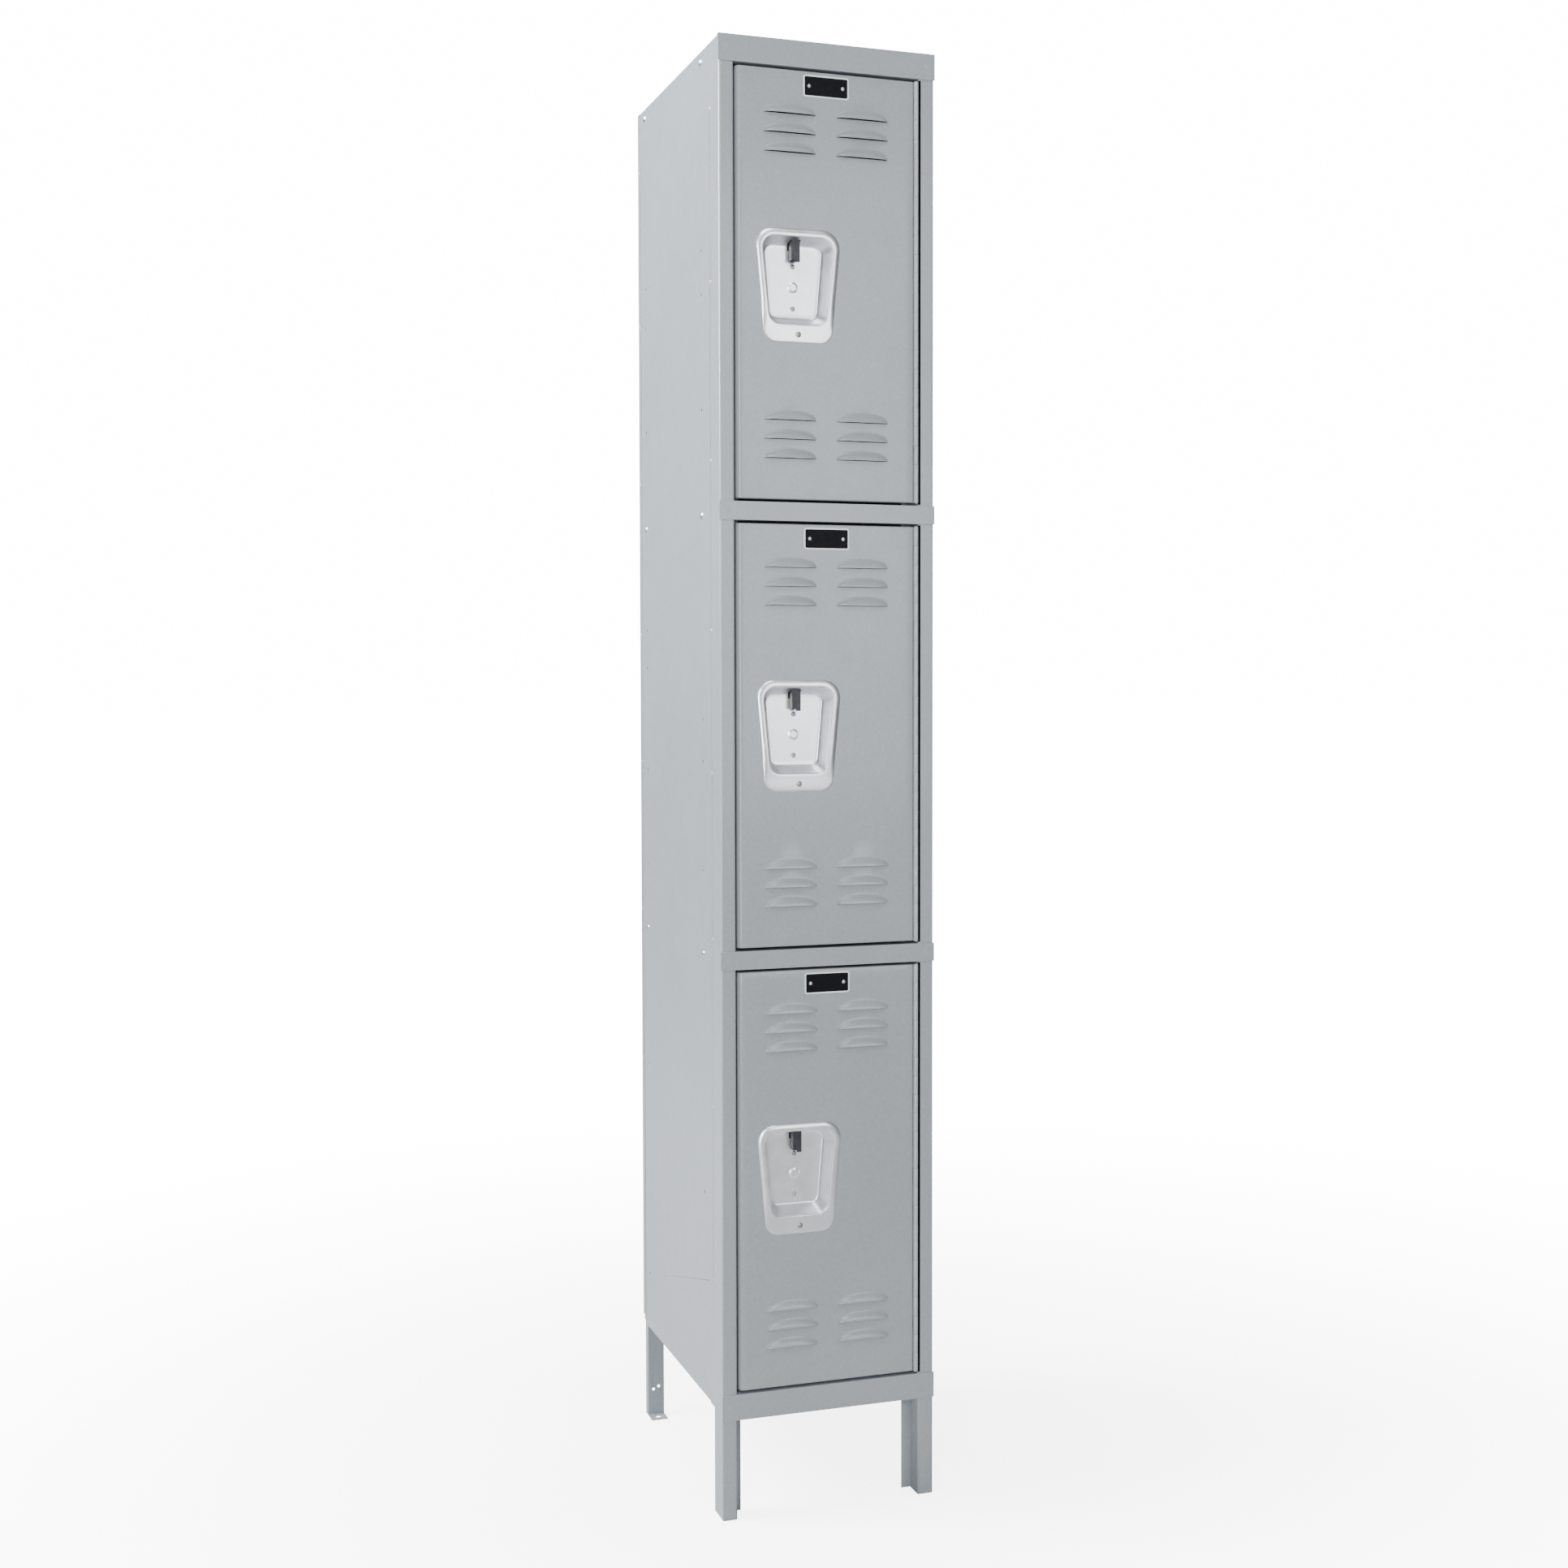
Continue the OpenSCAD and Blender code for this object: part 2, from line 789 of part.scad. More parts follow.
// Bracket inside the door that the latch bar slides in
module latch_guide(i) {
    z0 = door_mid_z(i) + bar_z;
    color(zinc)
        difference() {
            span([guide_x, frame_t, z0 - 6], [guide_x + guide_w, bar_y + 5, z0 + bar_h + 16]);
            span([guide_x - 1, bar_y - 0.3, z0 - 0.2],
                 [guide_x + guide_w + 1, bar_y + bar_t + 0.3, z0 + bar_h + lift_travel + 0.5]);
            span([guide_x - 1, frame_t + 2, z0 - 3],
                 [guide_x + guide_w + 1, bar_y - 2.3, z0 + bar_h + 13]);
        }
}

// ---------- number plates ----------

function plate_z(i) = door_z(i) + door_h - plate_drop - plate_h / 2;

module number_plate(i) {
    border = 1.4;
    color(plate_black)
        difference() {
            span([door_mid_x - plate_w / 2, -plate_t, plate_z(i) - plate_h / 2],
                 [door_mid_x + plate_w / 2, 0, plate_z(i) + plate_h / 2]);
            span([door_mid_x - plate_w / 2 + border, -1, plate_z(i) - plate_h / 2 + border],
                 [door_mid_x + plate_w / 2 - border, 0.3 - plate_t, plate_z(i) + plate_h / 2 - border]);
        }
}

module plate_rivets(i) {
    color(zinc)
        for (dx = [-plate_rivet_dx, plate_rivet_dx])
            translate([door_mid_x + dx, front_y + 0.3 - plate_t, plate_z(i)])
                rotate([90, 0, 0])
                    dome(2.6, 1.3);
}

// ---------- drawing ----------

upright_left();
upright_right();
top_rail();
middle_rail_upper();
middle_rail_lower();
bottom_rail();
side_panel(-1);  // side_panel_left
side_panel(1);  // side_panel_right
back_panel();
top_panel();
shelf_upper();
shelf_lower();
bottom_panel();
rear_leg(-1);  // rear_leg_left
rear_leg(1);  // rear_leg_right
frame_rivets();
back_rivets();
shelf_bolts();
shelf_nuts();
coat_hooks();
hook_rivets();
latch_strikes();
door_silencers();
for (i = [1 : tiers]) {
    frame_hinge_leaf(i);
    hinge_pin(i);
    door_panel(i);
    door_hinge_leaf(i);
    recess_cup(i);
    cup_screws(i);
    lock_hole_plug(i);
    number_plate(i);
    plate_rivets(i);
    latch_guide(i);
    finger_lift(i);
    latch_bar(i);
}
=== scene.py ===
# Looks of the three-tier locker: detailed doors, recessed handles and number plates
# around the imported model, with materials, floor, light and camera. Metres throughout;
# lengths written in millimetres are multiplied by MM.
import json
import math
from types import SimpleNamespace

import bmesh
import bpy
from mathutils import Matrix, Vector


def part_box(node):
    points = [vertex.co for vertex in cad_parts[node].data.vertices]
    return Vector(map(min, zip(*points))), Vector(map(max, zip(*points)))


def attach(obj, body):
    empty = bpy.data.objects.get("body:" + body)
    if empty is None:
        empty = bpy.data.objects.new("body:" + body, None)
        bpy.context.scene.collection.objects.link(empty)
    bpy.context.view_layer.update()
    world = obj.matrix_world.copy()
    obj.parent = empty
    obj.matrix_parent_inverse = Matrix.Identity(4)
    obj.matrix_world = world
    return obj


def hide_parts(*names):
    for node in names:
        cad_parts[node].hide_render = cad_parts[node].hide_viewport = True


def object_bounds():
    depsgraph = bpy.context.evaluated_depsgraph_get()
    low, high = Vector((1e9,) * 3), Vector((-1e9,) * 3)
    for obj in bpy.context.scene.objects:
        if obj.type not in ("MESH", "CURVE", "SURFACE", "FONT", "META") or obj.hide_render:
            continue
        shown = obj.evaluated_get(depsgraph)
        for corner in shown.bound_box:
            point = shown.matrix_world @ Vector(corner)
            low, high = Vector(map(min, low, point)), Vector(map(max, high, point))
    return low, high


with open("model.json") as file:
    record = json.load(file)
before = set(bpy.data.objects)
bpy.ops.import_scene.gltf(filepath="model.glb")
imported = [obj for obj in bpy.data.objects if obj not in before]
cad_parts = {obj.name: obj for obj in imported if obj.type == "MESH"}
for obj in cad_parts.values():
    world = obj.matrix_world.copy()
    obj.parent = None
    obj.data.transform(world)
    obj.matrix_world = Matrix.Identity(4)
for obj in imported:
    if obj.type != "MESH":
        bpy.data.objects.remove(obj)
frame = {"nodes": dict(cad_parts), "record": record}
cad_lo, cad_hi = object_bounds()

MM = 0.001
TIERS = (1, 2, 3)

# ---------- dimensions shared with the CAD model ----------

face_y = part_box("upright_left")[0].y          # the frame's face plane
sheet_t = 1.5 * MM                            # frame and door sheet
door_edge_r = 7 * MM                          # free vertical edge of a door
hinge_edge_r = 3 * MM                         # hinged vertical edge of a door
door_back_r = 2 * MM                          # bend at the back of the pan
door_rim_r = 1.8 * MM                         # bend at the top and bottom of the pan
door_lip_in = sheet_t + 14 * MM               # reach of the back's lips from the pan's outside
louvre_half_w = 36.5 * MM
louvre_dx = 51 * MM                           # louvre column from the door's middle
louvre_pitch = 25.4 * MM
louvre_hood_h = 13 * MM
louvre_slit_h = 0.7 * MM
louvre_top_drop = 57.5 * MM
louvre_bottom_rise = 55 * MM
louvres_per_column = 3                        # at the top and again at the bottom
cup_hole_gap = 2 * MM                         # door hole outside the cup's mouth
notch_drop = 12 * MM                          # strike notch below the latch bar
notch_h = 32 * MM
notch_gap = 2.5 * MM                          # strike notch beside the strike

# Outlines of the cup in millimetres:
# half width at top and bottom, top z, bottom z, radius at top and bottom
CUP_FLANGE = (58.7, 48.5, 75.0, -75.0, 24.0, 18.0)
CUP_BEAD = (58.3, 48.1, 74.6, -74.6, 23.7, 17.7)
CUP_MOUTH = (49.5, 41.5, 66.0, -52.0, 18.0, 16.0)
CUP_FLOOR = (42.0, 35.5, 59.0, -42.0, 14.0, 12.0)


# ---------- node helpers ----------

NOISE_LOW, NOISE_HIGH = 0.3, 0.7              # range that most of a noise lies in


def new_material(name):
    """Empty node material with its shader and its output."""
    mat = bpy.data.materials.new(name)
    mat.use_nodes = True
    mat.node_tree.nodes.clear()
    shader = mat.node_tree.nodes.new("ShaderNodeBsdfPrincipled")
    out = mat.node_tree.nodes.new("ShaderNodeOutputMaterial")
    mat.node_tree.links.new(shader.outputs["BSDF"], out.inputs["Surface"])
    return mat, shader


def add_node(mat, kind, **values):
    """One node with its input sockets set by name."""
    node = mat.node_tree.nodes.new(kind)
    for key, value in values.items():
        node.inputs[key.replace("_", " ")].default_value = value
    return node


def noise(mat, coords, scale, detail=3.0, roughness=0.55):
    """Noise texture in object coordinates, scale in cycles per metre."""
    node = add_node(mat, "ShaderNodeTexNoise", Scale=scale, Detail=detail, Roughness=roughness)
    mat.node_tree.links.new(coords, node.inputs["Vector"])
    return node.outputs["Fac"]


def ramp(mat, fac, low, high):
    """Colour between two colours that follows a noise."""
    node = mat.node_tree.nodes.new("ShaderNodeValToRGB")
    stops = node.color_ramp.elements
    stops[0].position, stops[1].position = NOISE_LOW, NOISE_HIGH
    stops[0].color, stops[1].color = (*low, 1), (*high, 1)
    mat.node_tree.links.new(fac, node.inputs["Fac"])
    return node.outputs["Color"]


def map_range(mat, fac, low, high):
    """Value between two values that follows a noise."""
    node = add_node(mat, "ShaderNodeMapRange", From_Min=NOISE_LOW, From_Max=NOISE_HIGH,
                    To_Min=low, To_Max=high)
    mat.node_tree.links.new(fac, node.inputs["Value"])
    return node.outputs["Result"]


def product(mat, a, b):
    """Product of two values."""
    node = mat.node_tree.nodes.new("ShaderNodeMath")
    node.operation = "MULTIPLY"
    mat.node_tree.links.new(a, node.inputs[0])
    mat.node_tree.links.new(b, node.inputs[1])
    return node.outputs["Value"]


def colour_mix(mat):
    """Empty mix node for colours."""
    node = mat.node_tree.nodes.new("ShaderNodeMix")
    node.data_type = "RGBA"
    return node


def bump(mat, height, strength, distance, normal=None):
    """Bump node on a height, stacked on an earlier one if given."""
    node = add_node(mat, "ShaderNodeBump", Strength=strength, Distance=distance)
    mat.node_tree.links.new(height, node.inputs["Height"])
    if normal is not None:
        mat.node_tree.links.new(normal, node.inputs["Normal"])
    return node.outputs["Normal"]


def object_coords(mat, stretch=(1, 1, 1)):
    """Object coordinates, stretched for a grain."""
    coords = mat.node_tree.nodes.new("ShaderNodeTexCoord").outputs["Object"]
    if stretch == (1, 1, 1):
        return coords
    mapping = add_node(mat, "ShaderNodeMapping", Scale=stretch)
    mat.node_tree.links.new(coords, mapping.inputs["Vector"])
    return mapping.outputs["Vector"]


def tone(colour, gain):
    """The colour made lighter or darker."""
    return tuple(min(1.0, c * gain) for c in colour)


def grey(level):
    """Grey of one level."""
    return (level, level, level)


# ---------- materials ----------

def paint_material(name, base, coat):
    """Satin baked enamel on steel: orange peel, faint drifts of tone, and paler edges that are a
    painted highlight.
    """
    mat, shader = new_material(name)
    links = mat.node_tree.links
    coords = object_coords(mat)
    drift = ramp(mat, noise(mat, coords, 4.0), tone(base, 0.965), tone(base, 1.035))
    fleck = ramp(mat, noise(mat, coords, 260.0, 4.0, 0.7), grey(0.93), grey(1.05))
    mix = colour_mix(mat)
    mix.blend_type = "MULTIPLY"
    mix.inputs["Factor"].default_value = 1.0
    links.new(drift, mix.inputs["A"])
    links.new(fleck, mix.inputs["B"])
    # Paler edges and bends: a painted highlight.
    painted_edge_light = painted_edge_highlight(mat, mix.outputs["Result"], tone(base, 1.6), amount=0.5)
    links.new(painted_edge_light, shader.inputs["Base Color"])
    links.new(map_range(mat, noise(mat, coords, 35.0), 0.31, 0.39), shader.inputs["Roughness"])
    peel = bump(mat, noise(mat, coords, 620.0, 2.0), 0.16, 0.2 * MM)
    waves = bump(mat, noise(mat, coords, 14.0, 1.0), 0.10, 0.8 * MM, peel)
    links.new(waves, shader.inputs["Normal"])
    shader.inputs["Coat Weight"].default_value = coat
    shader.inputs["Coat Roughness"].default_value = 0.14
    return mat


def painted_edge_highlight(mat, colour, painted_edge_light, amount):
    """Mixes a paler colour in where the surface turns sharply, broken up by noise: a painted
    highlight along edges and bends.
    """
    nodes, links = mat.node_tree.nodes, mat.node_tree.links
    bevel = nodes.new("ShaderNodeBevel")
    bevel.samples = 4
    bevel.inputs["Radius"].default_value = 1.5 * MM
    geometry = nodes.new("ShaderNodeNewGeometry")
    dot = nodes.new("ShaderNodeVectorMath")
    dot.operation = "DOT_PRODUCT"
    links.new(bevel.outputs["Normal"], dot.inputs[0])
    links.new(geometry.outputs["Normal"], dot.inputs[1])
    edge = add_node(mat, "ShaderNodeMapRange", From_Min=0.99, From_Max=0.80,
                    To_Min=0.0, To_Max=amount)
    links.new(dot.outputs["Value"], edge.inputs["Value"])
    patches = map_range(mat, noise(mat, object_coords(mat), 40.0), 0.55, 1.0)
    mix = colour_mix(mat)
    links.new(product(mat, edge.outputs["Result"], patches), mix.inputs["Factor"])
    links.new(colour, mix.inputs["A"])
    mix.inputs["B"].default_value = (*painted_edge_light, 1)
    return mix.outputs["Result"]


def metal_material(name, base, rough, grain, grain_scale, spread, tint):
    """Metal with a fine grain; grain is the stretch of the object coordinates."""
    mat, shader = new_material(name)
    links = mat.node_tree.links
    lines = noise(mat, object_coords(mat, grain), grain_scale, 3.0, 0.6)
    cloud = noise(mat, object_coords(mat), 55.0, 3.0, 0.6)
    links.new(ramp(mat, cloud, tone(base, 1 - tint), tone(base, 1 + tint)),
              shader.inputs["Base Color"])
    fine = map_range(mat, lines, 1 - spread, 1 + spread)
    broad = map_range(mat, cloud, rough * 0.94, rough * 1.1)
    links.new(product(mat, fine, broad), shader.inputs["Roughness"])
    links.new(bump(mat, lines, 0.08, 0.1 * MM), shader.inputs["Normal"])
    shader.inputs["Metallic"].default_value = 1.0
    return mat


def coated_material(name, low, high, rough, peel_scale, peel, specular=0.5):
    """Coating, plastic or rubber: mottled tone, grained surface."""
    mat, shader = new_material(name)
    links = mat.node_tree.links
    coords = object_coords(mat)
    links.new(ramp(mat, noise(mat, coords, 140.0, 4.0), low, high), shader.inputs["Base Color"])
    links.new(map_range(mat, noise(mat, coords, 300.0), rough * 0.85, rough * 1.15),
              shader.inputs["Roughness"])
    grain = bump(mat, noise(mat, coords, peel_scale, 2.0), peel, 0.2 * MM)
    links.new(grain, shader.inputs["Normal"])
    shader.inputs["Specular IOR Level"].default_value = specular
    return mat


ENAMEL = (0.286, 0.3155, 0.343)
PAINT = paint_material("grey_enamel", ENAMEL, coat=0.35)
HIGHLIT_HINGE_PAINT = paint_material("hinge_enamel_painted_highlight", tone(ENAMEL, 1.3), coat=0.8)   # paler base: painted highlight on the hinge barrels
STAINLESS = metal_material("satin_stainless", (0.82, 0.84, 0.87), rough=0.31,
                           grain=(1, 1, 0.04), grain_scale=900.0, spread=0.02, tint=0.05)
ZINC = metal_material("zinc_plate", (0.60, 0.62, 0.65), rough=0.38,
                      grain=(1, 1, 1), grain_scale=300.0, spread=0.15, tint=0.10)
# Darker copy of the zinc for the cup screws: painted shade of their recesses.
SHADED_SCREW_ZINC = metal_material("screw_zinc_painted_shade", (0.36, 0.37, 0.39), rough=0.38,
                             grain=(1, 1, 1), grain_scale=300.0, spread=0.15, tint=0.10)
RIM = coated_material("plate_rim", (0.80, 0.81, 0.82), (0.88, 0.89, 0.90), rough=0.35,
                      peel_scale=900.0, peel=0.1)
DARK_STEEL = coated_material("dark_steel", (0.012, 0.014, 0.019), (0.028, 0.031, 0.040),
                             rough=0.42, peel_scale=900.0, peel=0.2)
BLACK = coated_material("plate_black", (0.0015, 0.002, 0.003), (0.003, 0.004, 0.006),
                        rough=0.5, peel_scale=1200.0, peel=0.12, specular=0.12)
RUBBER = coated_material("rubber_black", grey(0.012), grey(0.028), rough=0.75,
                         peel_scale=1500.0, peel=0.4)

SLOT_MATERIALS = {
    "paint_grey": PAINT,
    "stainless": STAINLESS,
    "zinc_plate": ZINC,
    "dark_steel": DARK_STEEL,
    "plate_black": BLACK,
    "rubber_black": RUBBER,
}


# ---------- mesh helpers ----------

def make_object(name, verts, faces, material, smooth_angle=35):
    """Object from lists of points and faces."""
    mesh = bpy.data.meshes.new(name)
    mesh.from_pydata(verts, [], faces)
    mesh.materials.append(material)
    obj = bpy.data.objects.new(name, mesh)
    bpy.context.scene.collection.objects.link(obj)
    smooth(mesh, smooth_angle)
    return obj


def smooth(mesh, angle):
    """Smooth shading with edges sharper than the angle, in degrees, kept sharp."""
    bm = bmesh.new()
    bm.from_mesh(mesh)
    for face in bm.faces:
        face.smooth = True
    for edge in bm.edges:
        turn = edge.calc_face_angle(0.0) if len(edge.link_faces) == 2 else 0.0
        edge.smooth = turn < math.radians(angle)
    bm.to_mesh(mesh)
    bm.free()


def thicken(obj, thickness):
    """Gives a surface its sheet's thickness, on its inner side."""
    shell = obj.modifiers.new("thickness", "SOLIDIFY")
    shell.thickness = thickness
    shell.offset = -1


def bake_modifiers(obj, smooth_angle):
    """Replaces the object's mesh with its modified mesh."""
    graph = bpy.context.evaluated_depsgraph_get()
    graph.update()
    mesh = bpy.data.meshes.new_from_object(obj.evaluated_get(graph))
    obj.modifiers.clear()
    obj.data = mesh
    smooth(mesh, smooth_angle)


def finish_piece(obj, body, slot, *nodes):
    """Rides the piece on its body and hides the CAD nodes it stands for; its slot is not used."""
    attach(obj, body)
    if nodes:
        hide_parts(*nodes)


def quad(n, j, k):
    """Face from point k of ring j to the next point and the next ring, of n points each."""
    b = (k + 1) % n
    return (j * n + k, j * n + b, (j + 1) * n + b, (j + 1) * n + k)


def tube_faces(n, rings):
    """All the faces between rings of n points."""
    return [quad(n, j, k) for j in range(rings - 1) for k in range(n)]


def end_caps(n, rings):
    """Faces that close the first and the last ring."""
    last = (rings - 1) * n
    return [tuple(reversed(range(n))), tuple(range(last, last + n))]


def merged(values, gap):
    """The sorted values without those closer than the gap to the one before."""
    out = []
    for value in sorted(values):
        if not out or value - out[-1] > gap:
            out.append(value)
    return out


def arc(cx, cy, r, start, end, steps):
    """Points of an arc with their unit vectors towards the centre, both ends included."""
    out = []
    for k in range(steps + 1):
        a = math.radians(start + (end - start) * k / steps)
        out.append((cx + r * math.cos(a), cy + r * math.sin(a), -math.cos(a), -math.sin(a)))
    return out


# ---------- doors ----------

DOOR_SHEET = 1.2 * MM                         # drawn sheet of a door, thinner than sheet_t
EDGE_COLUMN = 6 * MM                          # mesh column beside the free edge's bend
HINGE_COLUMNS = (25 * MM, 12 * MM)            # mesh columns off the hinged edge
HOLE_COLUMN = 48 * MM                         # column that follows the hole's right side
COLUMN_GAP, ROW_GAP = 0.1 * MM, 0.25 * MM     # closer columns and rows are merged
HOLE_MARGIN = 0.1 * MM                        # rows this near the handle's hole belong to it
LIP_MARGIN = 0.01 * MM                        # the same for a louvre's lip
POINT_GAP = 0.02 * MM                         # closer points are merged


def door_plan(i):
    """Sizes and places of one door; heights are above its lower edge."""
    lo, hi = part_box(f"door_panel_{i}")
    cup_lo, cup_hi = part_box(f"recess_cup_{i}")
    bar_lo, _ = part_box(f"latch_bar_{i}")
    strike_lo, strike_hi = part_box("latch_strikes")
    middle = (lo.x + hi.x) / 2
    height = hi.z - lo.z
    cup_z = (cup_lo.z + cup_hi.z) / 2 - lo.z
    notch_z = bar_lo.z - notch_drop - lo.z
    door = SimpleNamespace(x0=lo.x, x1=hi.x, z0=lo.z, height=height, cup_z=cup_z)
    door.depth = hi.y - face_y
    door.hood_out = face_y - lo.y
    door.cup_x = (cup_lo.x + cup_hi.x) / 2
    door.centres = (middle - louvre_dx, middle + louvre_dx)
    steps = [k * louvre_pitch for k in range(louvres_per_column)]
    door.lows = [louvre_bottom_rise + step for step in steps]
    door.lows += [height - louvre_top_drop - step for step in steps]
    door.hole_z = (cup_z + CUP_MOUTH[3] * MM - cup_hole_gap,
                   cup_z + CUP_MOUTH[2] * MM + cup_hole_gap)
    door.hole_x = (door.centres[0] - louvre_half_w, door.cup_x + HOLE_COLUMN)
    door.notch_z = (notch_z, notch_z + notch_h)
    door.notch_x = (strike_lo.x - notch_gap, strike_hi.x + notch_gap)
    columns = [lo.x + door_edge_r + EDGE_COLUMN, middle, door.hole_x[1]]
    columns += [hi.x - inset for inset in HINGE_COLUMNS]
    for centre in door.centres:
        columns += louvre_columns(centre)
    door.front_xs = merged(columns, COLUMN_GAP)
    return door


def louvre_columns(centre):
    """Mesh columns of one louvre, closer together towards its ends."""
    steps = 26
    return [centre - louvre_half_w * math.cos(math.pi * k / steps) for k in range(steps + 1)]


def hood(u, above, out):
    """How far a louvre stands out at u, -1..1 along it, and at a height above its lip."""
    arch, arch_round = 2.4, 0.62              # outline of the hood's top
    ends, ends_round = 7, 0.5                 # its fall towards both ends
    slope = 1.7                               # its fall from the lip to the top
    u = abs(u)
    if u >= 1:
        return 0.0
    top = louvre_hood_h * (1 - u ** arch) ** arch_round
    if top <= 0 or above >= top:
        return 0.0
    q = above / top
    return out * (1 - u ** ends) ** ends_round * (1 - q * q) ** slope


def door_section(door):
    """Closed outline of the pan seen from above as (x, y, inward x, inward y, kind)."""
    r, x0, x1, depth = door_back_r, door.x0, door.x1, door.depth
    points = [(x0 + door_lip_in, depth, 0, -1, "lip")]
    points += [(x, depth, 0, -1, "notch") for x in reversed(door.notch_x)]
    points += [(*p, "bend") for p in arc(x0 + r, depth - r, r, 90, 180, 3)]
    points += [(*p, "edge") for p in arc(x0 + door_edge_r, door_edge_r, door_edge_r, 180, 270, 8)]
    points += [(x, 0, 0, 1, "front") for x in door.front_xs]
    points += [(*p, "edge")
               for p in arc(x1 - hinge_edge_r, hinge_edge_r, hinge_edge_r, 270, 360, 5)]
    points += [(*p, "bend") for p in arc(x1 - r, depth - r, r, 0, 90, 3)]
    points.append((x1 - door_lip_in, depth, 0, -1, "lip"))
    return points


def door_rows(door):
    """Heights of the mesh rows between the door's rims."""
    hole_steps, plain_steps, louvre_steps = 6, 16, 10
    below, above = 2 * MM, 1 * MM             # other rows keep this far from a louvre
    hole_low, hole_high = door.hole_z
    rows = [door_lip_in, door.height - door_lip_in, *door.hole_z, *door.notch_z]
    rows += [hole_low + (hole_high - hole_low) * k / hole_steps for k in range(1, hole_steps)]
    plain = [door.height * k / plain_steps for k in range(1, plain_steps)]
    rows += [z for z in plain if abs(z - door.cup_z) > CUP_FLANGE[2] * MM]
    rows = [z for z in rows
            if not any(-below < z - low < louvre_hood_h + above for low in door.lows)]
    for low in door.lows:
        rows.append(low - louvre_slit_h)
        rows += [low + louvre_hood_h * k / louvre_steps for k in range(louvre_steps + 1)]
    rows += [door_rim_r, door.height - door_rim_r]
    return merged(rows, ROW_GAP)


def door_stack(door):
    """Rows of the pan as (height, inset), with its rims rolled in at both ends."""
    steps = 4
    rim = []
    for k in range(steps):
        a = math.pi / 2 * k / steps
        rim.append((door_rim_r * (1 - math.cos(a)), door_rim_r * (1 - math.sin(a))))
    rows = [(z, 0.0) for z in door_rows(door)]
    return rim + rows + [(door.height - z, inset) for z, inset in reversed(rim)]


def in_hole(door, z):
    """Whether a row crosses the handle's hole or lies on its edge."""
    return door.hole_z[0] - HOLE_MARGIN < z < door.hole_z[1] + HOLE_MARGIN


def leaned(door, x, z):
    """Front columns lean along the sides of the handle's hole."""
    if not in_hole(door, z):
        return x
    t = (z - door.hole_z[0]) / (door.hole_z[1] - door.hole_z[0])
    half = (CUP_MOUTH[1] + (CUP_MOUTH[0] - CUP_MOUTH[1]) * t) * MM + cup_hole_gap
    left, right = door.x0 + door_edge_r, door.x1 - hinge_edge_r
    knots = ((left, left), (door.hole_x[0], door.cup_x - half),
             (door.hole_x[1], door.cup_x + half), (right, right))
    for (a, b), (c, d) in zip(knots, knots[1:]):
        if x <= c:
            return b + (d - b) * (x - a) / (c - a)
    return x


def door_point(door, p, z, inset):
    """Point of the pan's outline at a height, moved inwards by an inset."""
    x, y, nx, ny, kind = p
    if kind == "front":
        for low in door.lows:
            for centre in door.centres:
                if -LIP_MARGIN < z - low < louvre_hood_h:
                    y -= hood((x - centre) / louvre_half_w, z - low, door.hood_out)
        x = leaned(door, x, z)
    return (x + nx * inset, face_y + y + ny * inset, door.z0 + z)


def is_open(door, a, b, za, zb):
    """Whether the pan is open between two points of its outline and two of its rows."""
    x, z = (a[0] + b[0]) / 2, (za + zb) / 2
    kinds = (a[4], b[4])
    if kinds == ("lip", "lip"):
        return door_lip_in < z < door.height - door_lip_in
    if kinds == ("notch", "notch"):
        return door.notch_z[0] < z < door.notch_z[1]
    if kinds != ("front", "front"):
        return False
    if in_hole(door, za) and in_hole(door, zb) and door.hole_x[0] < x < door.hole_x[1]:
        return True
    slit_half_w = 0.985 * louvre_half_w
    in_slit = any(low - louvre_slit_h < z < low for low in door.lows)
    return in_slit and any(abs(x - centre) < slit_half_w for centre in door.centres)


def door_panel(i):
    """Folded door pan with its pressed louvres, handle hole and strike notch."""
    door = door_plan(i)
    section = door_section(door)
    stack = door_stack(door)
    n = len(section)
    verts = [door_point(door, p, z, inset) for z, inset in stack for p in section]
    faces = []
    for j, ((za, _), (zb, _)) in enumerate(zip(stack, stack[1:])):
        for k in range(n):
            if not is_open(door, section[k], section[(k + 1) % n], za, zb):
                faces.append(quad(n, j, k))
    faces += end_caps(n, len(stack))
    shell = make_object(f"door_shell_{i}", verts, faces, PAINT)
    bm = bmesh.new()
    bm.from_mesh(shell.data)
    bmesh.ops.remove_doubles(bm, verts=bm.verts, dist=POINT_GAP)
    bmesh.ops.triangulate(bm, faces=[f for f in bm.faces if len(f.verts) > 4])
    bm.to_mesh(shell.data)
    bm.free()
    thicken(shell, DOOR_SHEET)
    bake_modifiers(shell, 30)
    finish_piece(shell, f"door_{i}", "paint_grey", f"door_panel_{i}")


# ---------- recessed handles ----------

# Section of the cup in millimetres; depths are measured from the frame's face
FLANGE_EDGE = ((0, -0.05), (0, -0.6), (-0.1, -0.85))   # growth and depth of its first rings
FLANGE_ROUND = (0.6, -1.02)                   # part of the way to the bead, and depth
FLANGE_Y = -1.1                               # front of the flange
BEAD_H = 1.9                                  # bead in front of the flange
BEAD_WAVE, BEAD_FULLNESS = 0.68, 0.7          # the bead is part of a half wave, filled out
BEAD_SINK = (-62, 42, 0.2)                    # foot and length of its sinking, least part
MOUTH_ROLL = (1.6, 2.6)                       # roll into the mouth, sideways and inwards
FOOT_R = 3.5                                  # bend between wall and floor
FLOOR_INSET = 9                               # last ring inside the floor's outline
FLOOR_BACK = 1.0                              # the floor's front off the CAD cup's back
CUP_SHEET = 0.9 * MM
SLOT_GAP = 1.5 * MM                           # lift slot round the finger lift
SLOT_Z = (50 * MM, 90 * MM)                   # lift slot above the cup's middle


def blend_shape(a, b, t):
    """Outline between two cup outlines."""
    return tuple(p + (q - p) * t for p, q in zip(a, b))


